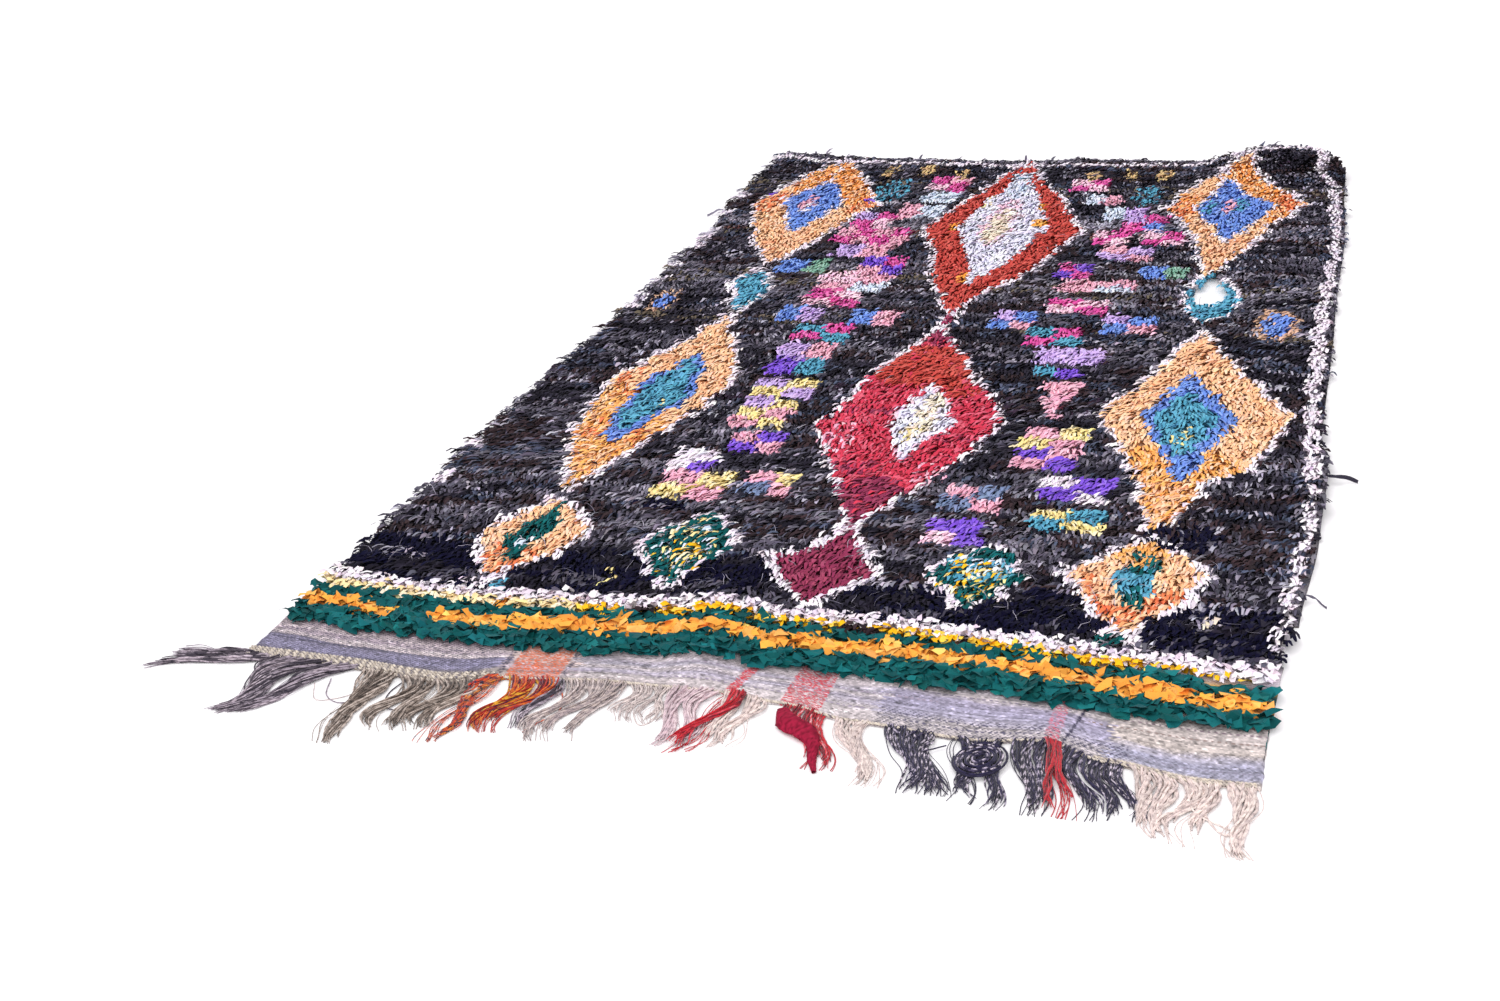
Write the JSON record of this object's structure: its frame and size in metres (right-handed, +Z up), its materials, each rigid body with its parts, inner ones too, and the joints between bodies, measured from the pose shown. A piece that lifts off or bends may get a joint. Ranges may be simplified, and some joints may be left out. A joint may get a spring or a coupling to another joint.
{
  "type": "shaggy rag rug",
  "caption": "Rectangular hand-knotted rag pile rug with a flat-woven end and a warp fringe, lying on a floor.",
  "frame": {"origin": "middle of the outer box, on the floor plane that the underside rests on", "axes": "+Z up out of the pile, +Y along the rug towards the plain far end, the fringe towards -Y"},
  "size_m": [1.693, 2.8636, 0.0588],
  "materials": {
    "pile": "matte dark rag pile with orange, red, blue and pink lozenges and bricks",
    "fringe": "matte twisted warp yarn in undyed, grey, navy and red groups"
  },
  "bodies": {
    "root": {"rug_body": "pile", "fringe": "fringe"}
  },
  "joints": []
}
